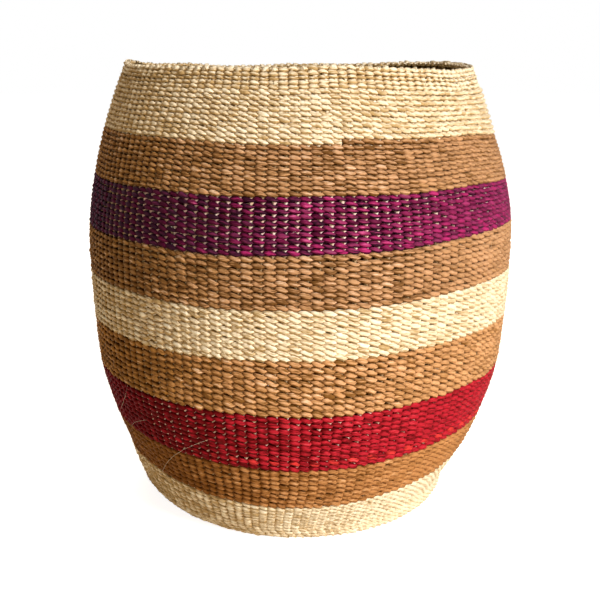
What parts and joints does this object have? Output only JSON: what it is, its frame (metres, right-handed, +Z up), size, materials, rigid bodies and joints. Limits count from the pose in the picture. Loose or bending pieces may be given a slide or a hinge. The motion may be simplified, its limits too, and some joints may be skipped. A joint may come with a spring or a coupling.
{
  "type": "woven cachepot",
  "caption": "Barrel-shaped striped basket of twined sisal with an open mouth, a flat base and a folded rim, made to hold a plant pot.",
  "frame": {"origin": "middle of the underside of the base, on the floor", "axes": "+Z up along the basket's round axis, -Y towards the viewer"},
  "size_m": [0.2908, 0.292, 0.2995],
  "materials": {
    "cream_sisal": "undyed sisal twine, slightly lustrous, fibrous",
    "tan_sisal": "tan-dyed sisal twine, fibrous",
    "purple_sisal": "magenta-dyed sisal twine, fibrous",
    "plum_sisal": "dark plum-dyed sisal twine, fibrous",
    "red_sisal": "red-dyed sisal twine, fibrous",
    "warp_sisal": "undyed sisal cord"
  },
  "bodies": {
    "root": {"base_weft_a": "cream_sisal", "base_weft_b": "cream_sisal", "foot_cream_weft_a": "cream_sisal", "foot_cream_weft_b": "cream_sisal", "foot_tan_weft_a": "tan_sisal", "foot_tan_weft_b": "tan_sisal", "red_weft_a": "red_sisal", "red_weft_b": "red_sisal", "lower_tan_weft_a": "tan_sisal", "lower_tan_weft_b": "tan_sisal", "middle_cream_weft_a": "cream_sisal", "middle_cream_weft_b": "cream_sisal", "upper_tan_weft_a": "tan_sisal", "upper_tan_weft_b": "tan_sisal", "purple_weft_a": "purple_sisal", "purple_weft_b": "plum_sisal", "top_tan_weft_a": "tan_sisal", "top_tan_weft_b": "tan_sisal", "top_cream_weft_a": "cream_sisal", "top_cream_weft_b": "cream_sisal", "rim_weft_a": "cream_sisal", "rim_weft_b": "cream_sisal", "warp_bundle_01": "warp_sisal", "warp_bundle_02": "warp_sisal", "warp_bundle_03": "warp_sisal", "warp_bundle_04": "warp_sisal", "warp_bundle_05": "warp_sisal", "warp_bundle_06": "warp_sisal", "warp_bundle_07": "warp_sisal", "warp_bundle_08": "warp_sisal", "warp_bundle_09": "warp_sisal", "warp_bundle_10": "warp_sisal", "warp_bundle_11": "warp_sisal", "warp_bundle_12": "warp_sisal", "warp_bundle_13": "warp_sisal", "warp_bundle_14": "warp_sisal", "warp_bundle_15": "warp_sisal", "warp_bundle_16": "warp_sisal", "warp_bundle_17": "warp_sisal", "warp_bundle_18": "warp_sisal", "warp_bundle_19": "warp_sisal", "warp_bundle_20": "warp_sisal", "warp_bundle_21": "warp_sisal", "warp_bundle_22": "warp_sisal", "warp_bundle_23": "warp_sisal", "warp_bundle_24": "warp_sisal", "warp_bundle_25": "warp_sisal", "warp_bundle_26": "warp_sisal", "warp_bundle_27": "warp_sisal", "warp_bundle_28": "warp_sisal", "warp_bundle_29": "warp_sisal", "warp_bundle_30": "warp_sisal", "warp_bundle_31": "warp_sisal", "warp_bundle_32": "warp_sisal", "warp_bundle_33": "warp_sisal", "warp_bundle_34": "warp_sisal", "start_knot": "cream_sisal", "rim_fold": "warp_sisal"}
  },
  "joints": []
}
